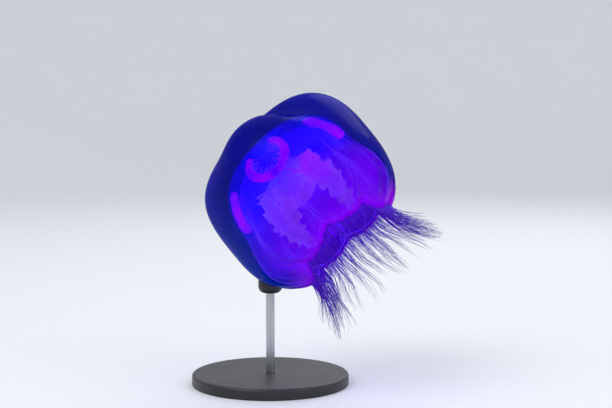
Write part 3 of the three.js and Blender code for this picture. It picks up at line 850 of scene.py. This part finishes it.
def curtain(path, azimuth, width, fold, swell, seed, s, pink=0.0):
    """A frilled sheet with a rib down its middle, hung along a path.
    width, fold and swell are given for each row."""
    rows, half = len(path), 36
    sheet_thickness, rib_thickness = 0.35 * MM, 1.6 * MM
    t = np.linspace(0, 1, rows)[:, None]
    across = np.concatenate([np.linspace(-1, 1, half), np.linspace(1, -1, half)])
    face = np.repeat((1.0, -1.0), half)
    reach = np.abs(across)
    length = np.linalg.norm(np.diff(path, axis=0), axis=1).sum()
    wander = 1.5 * np.sin(TURN * 1.3 * t + 2 * seed) + 0.8 * np.sin(TURN * 3.1 * t + seed)
    wave = TURN * length / s.frill_step * t + np.where(across > 0, 2.2, 0) + 1.9 * seed + wander
    depth = s.frill * swell * (0.8 + 0.3 * np.sin(TURN * 1.7 * t + seed + across))
    ruffle = depth * reach ** 1.5 * (
        np.sin(wave) + 0.24 * reach * np.sin(2.3 * wave + seed)
        + 0.07 * reach ** 2 * np.sin(4.3 * wave + 2 * seed))
    edge = 1 + (0.08 * np.sin(0.5 * wave) + 0.05 * np.sin(2.3 * wave + 1)) * reach ** 3
    rib = bump(across, 0.16) * (1 - 0.6 * t)
    thick = (sheet_thickness + rib_thickness * rib) * np.minimum(1, width / (3 * MM))
    rings = sweep(path, sideways(azimuth), width * across * edge,
                  fold * reach * width + ruffle + face * thick)
    tangent = unit(np.gradient(path, axis=0))[:, None]
    rings = rings + tangent * (0.35 * depth * reach ** 2 * np.cos(wave))[..., None]
    gravity = POSE.T @ np.array([0, 0, -1.0])
    rings = rings + gravity * (s.sag * (0.5 * reach ** 2 + t))[..., None]
    layers = {"edge": reach ** 4, "rib": bump(across, 0.2), "pink": pink * bump(t - 0.3, 0.3)}
    layers = {name: np.broadcast_to(values, thick.shape)[None] for name, values in layers.items()}
    return loft(rings[None], layers)


def rounded_end(t, begin, span, least):
    """1 along a sheet, and from begin on a quarter round that closes its end."""
    return np.sqrt(np.clip(1 - (np.clip(t - begin, 0, None) / span) ** 2, least, 1))


class MOONJELLY_OT_mouth(bpy.types.Operator):
    """Builds the four-cornered mouth with its frilled lips, and the four ruffled oral arms"""
    bl_idname = "moonjelly.mouth"
    bl_label = "Mouth and oral arms"

    def execute(self, context):
        s = context.scene.moon_jelly_organs
        colour = s.arm
        tissue = tissue_material(
            "Oral arm", tuple(0.55 * c for c in colour), colour, cloud=60.0, relief=480.0,
            relief_depth=0.25, wetness=0.7, cover=0.6, edge_cover=1.0, painted_glow=0.8, coat=0.05,
            tints=[("edge", linear(178, 118, 255), 0.6), ("pink", s.pink, 0.85)],
            denser=("rib", 0.4))
        first = PLAN_TURN + TURN / (2 * QUARTERS)
        angle = circle(128)
        down = np.linspace(0, 1, 40)[:, None]

        def tube(down, inset):
            corner = 1 + MOUTH_CORNER * np.cos(QUARTERS * (angle - first))
            pleat = 1 + 0.025 * np.sin(24 * angle) * smoothstep((0.1, 0.5), down)
            skirt = 5 * MM * np.exp(-down / 0.1)
            return (MOUTH_RADIUS * (1 + MOUTH_FLARE * down ** 2) + skirt) * corner * pleat - inset

        top = MOUTH_TOP + CURVED_GAP
        lip = np.linspace(0, math.pi, 7)[1:-1, None]
        lip_down = np.ones_like(lip)
        wall = 2.2 * MM
        inner_down = np.linspace(1, 0.12, 30)[:, None]
        radius = np.concatenate([
            tube(down, 0), tube(lip_down, 0) - wall / 2 * (1 - np.cos(lip)), tube(inner_down, wall)])
        height = np.concatenate([
            top + (MOUTH_END - top) * down, MOUTH_END - wall / 2 * np.sin(lip),
            top + (MOUTH_END - top) * inner_down])
        rings = radial(angle) * radius[..., None]
        rings[..., 2] = height
        edge = np.concatenate([down, lip_down, inner_down]) ** 4 * np.ones_like(angle)
        parts = [loft(rings[None], {"edge": edge[None], "rib": np.ones_like(edge)[None], "pink": 0.0})]

        high = MOUTH_TOP - 1 * MM
        t = np.linspace(0, 1, 150)
        taper = rounded_end(t, 0.8, 0.201, 0.01)
        swell = smoothstep((0, 0.2), t) * taper
        width = s.lip * taper * smoothstep((-0.1, 0.3), t)
        for k in range(QUARTERS):
            azimuth = PLAN_TURN + k * TURN / QUARTERS
            path = radial(azimuth) * (0.85 * MOUTH_RADIUS + s.lip_spread * t ** 1.5)[:, None]
            path[:, 2] = high + (s.lip_end - MOUTH_TOP) * t
            fold = (0.5 - 0.3 * t)[:, None]
            parts.append(curtain(path, azimuth, width[:, None], fold, swell[:, None], k + 0.5, s))
        add_piece("mouth_lips", merged(parts), [tissue], ["mouth"])

        t = np.linspace(0, 1, 300)
        begin = MOUTH_END + ARM_BURIED
        height = high + (ARM_END - high) * t
        below = (begin - height) / (begin - ARM_END)
        swung = (below + np.hypot(below, 0.08)) / 2
        taper = rounded_end(t, 0.86, 0.141, 0.004)
        width = between((s.curtain, ARM_WIDTH / 3), smoothstep((0.25, 1), t)) * taper
        width = width * smoothstep((-0.04, 0.16), t)
        swell = smoothstep((0, 0.15), t) * taper
        for k in range(QUARTERS):
            azimuth = first + k * TURN / QUARTERS
            hand = 1 if k % 2 else -1
            out = MOUTH_RADIUS + ARM_SPREAD * np.sin(math.pi * ARM_SWING * swung)
            twist = np.sin(math.pi * swung)[:, None]
            path = radial(azimuth) * out[:, None] + sideways(azimuth) * hand * ARM_TWIST * twist
            path[:, 2] = height
            fold = (0.85 - 0.5 * t)[:, None]
            skin = curtain(path, azimuth, width[:, None], fold, swell[:, None], k, s,
                           pink=float(k == s.pink_arm - 1))
            add_piece(f"oral_arm_ruffle_{k + 1}", skin, [tissue],
                      [f"oral_arm_{k + 1}_upper", f"oral_arm_{k + 1}_lower"])
        return {"FINISHED"}


def varied(seed, trait):
    scattered = 1e4 * np.sin(13 * seed + 78 * trait + 1)
    return scattered - np.floor(scattered)


class MOONJELLY_OT_tentacles(bpy.types.Operator):
    """Builds the fringe of fine tentacles, drawn together in strands"""
    bl_idname = "moonjelly.tentacles"
    bl_label = "Tentacles"

    def execute(self, context):
        s = context.scene.moon_jelly_tentacles
        rng = np.random.default_rng(RANDOM_SEED + 1)
        scatter = rng.uniform(-0.3, 0.3, s.count) * TURN / s.count
        azimuth = (np.arange(s.count) + 0.5) * TURN / s.count + scatter
        seeds = np.arange(LAPPETS * TENTACLES_PER_LAPPET)
        lappet, place = np.divmod(seeds, TENTACLES_PER_LAPPET)
        inset = between((TENTACLE_INSET, 1 - TENTACLE_INSET), place / (TENTACLES_PER_LAPPET - 1))
        strand_azimuth = PLAN_TURN + (lappet + inset) * TURN / LAPPETS
        nearest = np.argmin(np.abs(turn_to(azimuth[:, None] - strand_azimuth)), 1)
        own = rng.uniform(0, 1, (4, s.count))
        keep = s.bunching
        margin_radius = 44 * MM

        def trait(span, number):
            return between(span, keep * varied(nearest, number) + (1 - keep) * own[number])

        length = (TENTACLE_LENGTH * trait(LENGTH_RANGE, 1) * rng.uniform(0.5, 1.0, s.count))[:, None]
        flare = (TENTACLE_FLARE * trait(FLARE_RANGE, 2))[:, None]
        sway = (TENTACLE_SWAY * (trait((0, 1), 3) - 0.5))[:, None]
        gather = turn_to(strand_azimuth[nearest] - azimuth)
        polar = rim_angle(azimuth) - ROOT_INSET
        root = point_at(polar, azimuth, outer_radius(polar, azimuth) - RIM_THICKNESS / 2)
        draw = (gather * keep * margin_radius)[:, None]
        t = np.linspace(0, 1, 20)[None]
        phase = (nearest + 0.6 * own[0])[:, None]
        shiver = 0.6 * MM * t * np.sin(TURN * 2.5 * t + 9 * own[1][:, None])
        wave = 1.7 * TENTACLE_WAVE * t * np.sin(TURN * t + phase) + shiver
        path = (root[:, None] + radial(azimuth)[:, None] * (flare * t * t)[..., None]
                + sideways(azimuth)[:, None] * (sway * t * t + draw * t + wave)[..., None])
        path[..., 2] -= length * t
        thick = between((s.root, s.tip), t[0] ** 0.7)[:, None]
        beads = 1 + 0.18 * np.sin(TURN * 9 * t[0])[:, None]
        rings = round_rod(path, sideways(azimuth)[:, None], thick * beads, circle(5))
        along = np.broadcast_to(t[0][None, :, None], rings.shape[:3])
        tissue = tissue_material(
            "Tentacle", s.root_colour, s.root_colour, cloud=80.0, relief_depth=0.1,
            painted_glow=0.12, coat=0.0, tints=[("along", s.tip_colour, 1.0)])
        add_piece("tentacle_fringe", loft(rings, {"along": along}), [tissue], LAPPET_NODES)
        return {"FINISHED"}


class MOONJELLY_OT_sense_organs(bpy.types.Operator):
    """Builds the eight sense organs, a small club in each notch of the margin"""
    bl_idname = "moonjelly.sense_organs"
    bl_label = "Sense organs"

    def execute(self, context):
        tissue = tissue_material(
            "Sense organ", linear(120, 10, 205), linear(160, 40, 235), cloud=400.0, relief_depth=0.1,
            painted_glow=0.3, coat=0.5, tints=[("eye", linear(40, 0, 30), 1.0)])
        notch_radius = smooth_radius(np.float64(NOTCH_ANGLE))
        share = np.linspace(0, 1, 18)
        angle = circle(20)
        club = np.interp(share, [0, 0.12, 0.4, 0.7, 0.92, 1], [0.25, 0.5, 0.55, 1.0, 0.62, 0.08])
        for k in range(LAPPETS):
            azimuth = PLAN_TURN + k * TURN / LAPPETS
            seat_angle = NOTCH_ANGLE + (SENSE_ORGAN_RADIUS + 3 * GAP) / notch_radius
            mid_wall = outer_radius(NOTCH_ANGLE, azimuth) - RIM_THICKNESS / 2
            seat = point_at(seat_angle, azimuth, mid_wall)
            stem = point_at(NOTCH_ANGLE - 0.5 * DEGREE, azimuth, mid_wall)
            axis = unit(seat - stem)
            length = np.linalg.norm(seat - stem) + SENSE_ORGAN_RADIUS
            path = stem + axis * (length * share)[:, None]
            width = (SENSE_ORGAN_RADIUS * club)[:, None]
            rings = round_rod(path, sideways(azimuth), width, angle)
            eye = bump(share - 0.72, 0.1)[:, None] * smoothstep((0.2, 0.8), np.cos(angle - 0.6))
            add_piece(f"sense_club_{k + 1}", loft(rings[None], {"eye": eye[None]}), [tissue],
                      [f"sense_organ_{k + 1}"])
        return {"FINISHED"}


class MOONJELLY_OT_stand(bpy.types.Operator):
    """Builds the stand: its plate, its post and the cup that follows the bell"""
    bl_idname = "moonjelly.stand"
    bl_label = "Stand"

    def execute(self, context):
        black, steel = painted_metal(), brushed_steel()

        def turned(profile, sides):
            profile = np.array(profile)
            rings = radial(circle(sides)) * profile[:, 0][:, None, None]
            rings[..., 2] = profile[:, 1][:, None]
            return rings

        def filleted(radius, low, high, small, large):
            lower = [(radius - small * (1 - math.sin(a)), low + small * (1 - math.cos(a)))
                     for a in np.linspace(0, math.pi / 2, 7)]
            upper = [(radius - large * (1 - math.cos(a)), high - large * (1 - math.sin(a)))
                     for a in np.linspace(0, math.pi / 2, 13)]
            inner = [(radius * share, high) for share in (0.9, 0.6, 0.3, 0.05)]
            return [(radius * 0.05, low), (radius * 0.7, low), *lower, *upper, *inner]

        plate = turned(filleted(BASE_RADIUS, 0, BASE_THICKNESS, 0.6 * MM, 2.4 * MM), 192)
        add_piece("stand_plate", loft(plate[None]), [black], ["stand_base"],
                  in_pose=False)
        post_top = SUPPORT_HEIGHT - CUP_HEIGHT
        post = turned(filleted(ROD_RADIUS, BASE_THICKNESS, post_top, 0.3 * MM, 0.3 * MM), 64)
        add_piece("stand_post", loft(post[None]), [steel], ["stand_rod"],
                  in_pose=False)

        bell = bpy.data.objects["bell_skin"].data
        tree = BVHTree.FromPolygons([v.co for v in bell.vertices], [p.vertices for p in bell.polygons])
        sides = 96
        clearance, bevel, lip_drop = 0.4 * MM, 0.5 * MM, 0.7 * MM
        ray_start = post_top - 20 * MM
        sheet = []
        for radius in np.linspace(1, 0.04, 14) * (CUP_RADIUS - bevel):
            ring = radial(circle(sides)) * radius
            for point in ring:
                hit = tree.ray_cast(Vector((point[0], point[1], ray_start)), Vector((0, 0, 1)))[0]
                point[2] = hit.z - clearance
            sheet.append(ring)
        flare = np.linspace(0, math.pi / 2, 15)
        neck = CUP_RADIUS / 2
        shoulder = SUPPORT_HEIGHT - CUP_HEIGHT / 2
        wall = turned([(0.3 * MM, post_top)] + [
            (neck + (CUP_RADIUS - neck) * math.sin(a),
             post_top + (shoulder - post_top) * (1 - math.cos(a)))
            for a in flare], sides)
        lip = np.array(sheet[0])
        lip[:, :2] *= CUP_RADIUS / (CUP_RADIUS - bevel)
        lip[:, 2] -= lip_drop
        lip[:, 2] = np.maximum(lip[:, 2], shoulder + 0.1 * MM)
        rings = np.concatenate([wall, lip[None], np.array(sheet)])
        add_piece("stand_cradle", loft(rings[None]), [black], ["stand_cup"],
                  in_pose=False)
        return {"FINISHED"}


class MOONJELLY_OT_stage(bpy.types.Operator):
    """Sets the pale floor, the soft lights and the camera"""
    bl_idname = "moonjelly.stage"
    bl_label = "Stage"

    def execute(self, context):
        s = context.scene.moon_jelly_stage
        scene = context.scene
        scene.view_settings.view_transform = "Standard"
        sides, flat, bend, height = 96, 2.2, 1.2, 2.6
        profile = [(flat * share, 0.0) for share in (0.25, 0.5, 0.75)]
        profile += [(flat + bend * math.sin(a), bend * (1 - math.cos(a)))
                    for a in np.linspace(0, math.pi / 2, 25)]
        profile += [(flat + bend, height)]
        points = [(0.0, 0.0, 0.0)]
        points += [(r * math.cos(a), r * math.sin(a), z) for r, z in profile for a in circle(sides)]
        faces = [(0, 1 + j, 1 + (j + 1) % sides) for j in range(sides)]
        for i in range(len(profile) - 1):
            near = 1 + i * sides
            far = near + sides
            faces += [(near + j, far + j, far + (j + 1) % sides, near + (j + 1) % sides)
                      for j in range(sides)]
        mesh = bpy.data.meshes.new("floor")
        mesh.from_pydata(points, [], faces)
        mesh.shade_smooth()
        material, _, shader = new_material("Floor")
        shader.inputs["Base Color"].default_value = (*s.floor, 1)
        shader.inputs["Roughness"].default_value = 0.75
        mesh.materials.append(material)
        floor = bpy.data.objects.new("floor", mesh)
        scene.collection.objects.link(floor)

        world = bpy.data.worlds.new("Studio")
        world.use_nodes = True
        sky = world.node_tree.nodes["Background"].inputs
        sky["Color"].default_value = (0.86, 0.88, 0.92, 1)
        sky["Strength"].default_value = 0.95
        scene.world = world
        middle = Vector(PLACE)
        for name, offset, power, size in LAMPS:
            lamp = bpy.data.lights.new(name, "AREA")
            lamp.shape = "DISK"
            lamp.energy = power
            lamp.size = size
            light = bpy.data.objects.new(name, lamp)
            light.location = middle + Vector(offset)
            light.rotation_euler = (-Vector(offset)).to_track_quat("-Z", "Y").to_euler()
            scene.collection.objects.link(light)

        back = Vector((0, -math.cos(s.elevation), math.sin(s.elevation)))
        up = Vector((0, math.sin(s.elevation), math.cos(s.elevation)))
        lens = bpy.data.cameras.new("camera")
        lens.sensor_width = 36
        lens.lens = s.lens
        camera = bpy.data.objects.new("camera", lens)
        camera.location = middle + Vector((AIM_RIGHT, 0, 0)) - up * AIM_DOWN + back * s.distance
        camera.rotation_euler = (-back).to_track_quat("-Z", "Y").to_euler()
        scene.collection.objects.link(camera)
        scene.camera = camera
        return {"FINISHED"}


OPERATORS = (
    MOONJELLY_OT_bell, MOONJELLY_OT_canals, MOONJELLY_OT_stomach, MOONJELLY_OT_gonads, MOONJELLY_OT_mouth,
    MOONJELLY_OT_tentacles, MOONJELLY_OT_sense_organs, MOONJELLY_OT_stand, MOONJELLY_OT_stage,
)


class MOONJELLY_PT_panel(bpy.types.Panel):
    bl_label = "Moon jelly"
    bl_idname = "MOONJELLY_PT_panel"
    bl_space_type = "VIEW_3D"
    bl_region_type = "UI"
    bl_category = "Moon jelly"

    def draw(self, context):
        for operator in OPERATORS:
            self.layout.operator(operator.bl_idname)
        for name, group in SETTINGS.items():
            box = self.layout.box()
            for label in group.__annotations__:
                box.prop(getattr(context.scene, name), label)


def register():
    for name, group in SETTINGS.items():
        bpy.utils.register_class(group)
        setattr(bpy.types.Scene, name, bpy.props.PointerProperty(type=group))
    for cls in (*OPERATORS, MOONJELLY_PT_panel):
        bpy.utils.register_class(cls)


def unregister():
    for cls in (MOONJELLY_PT_panel, *reversed(OPERATORS)):
        bpy.utils.unregister_class(cls)
    for name, group in SETTINGS.items():
        delattr(bpy.types.Scene, name)
        bpy.utils.unregister_class(group)


def main():
    register()
    bpy.ops.moonjelly.bell()
    bpy.ops.moonjelly.canals()
    bpy.ops.moonjelly.stomach()
    bpy.ops.moonjelly.gonads()
    bpy.ops.moonjelly.mouth()
    bpy.ops.moonjelly.tentacles()
    bpy.ops.moonjelly.sense_organs()
    bpy.ops.moonjelly.stand()
    bpy.ops.moonjelly.stage()


if __name__ == "__main__":
    main()
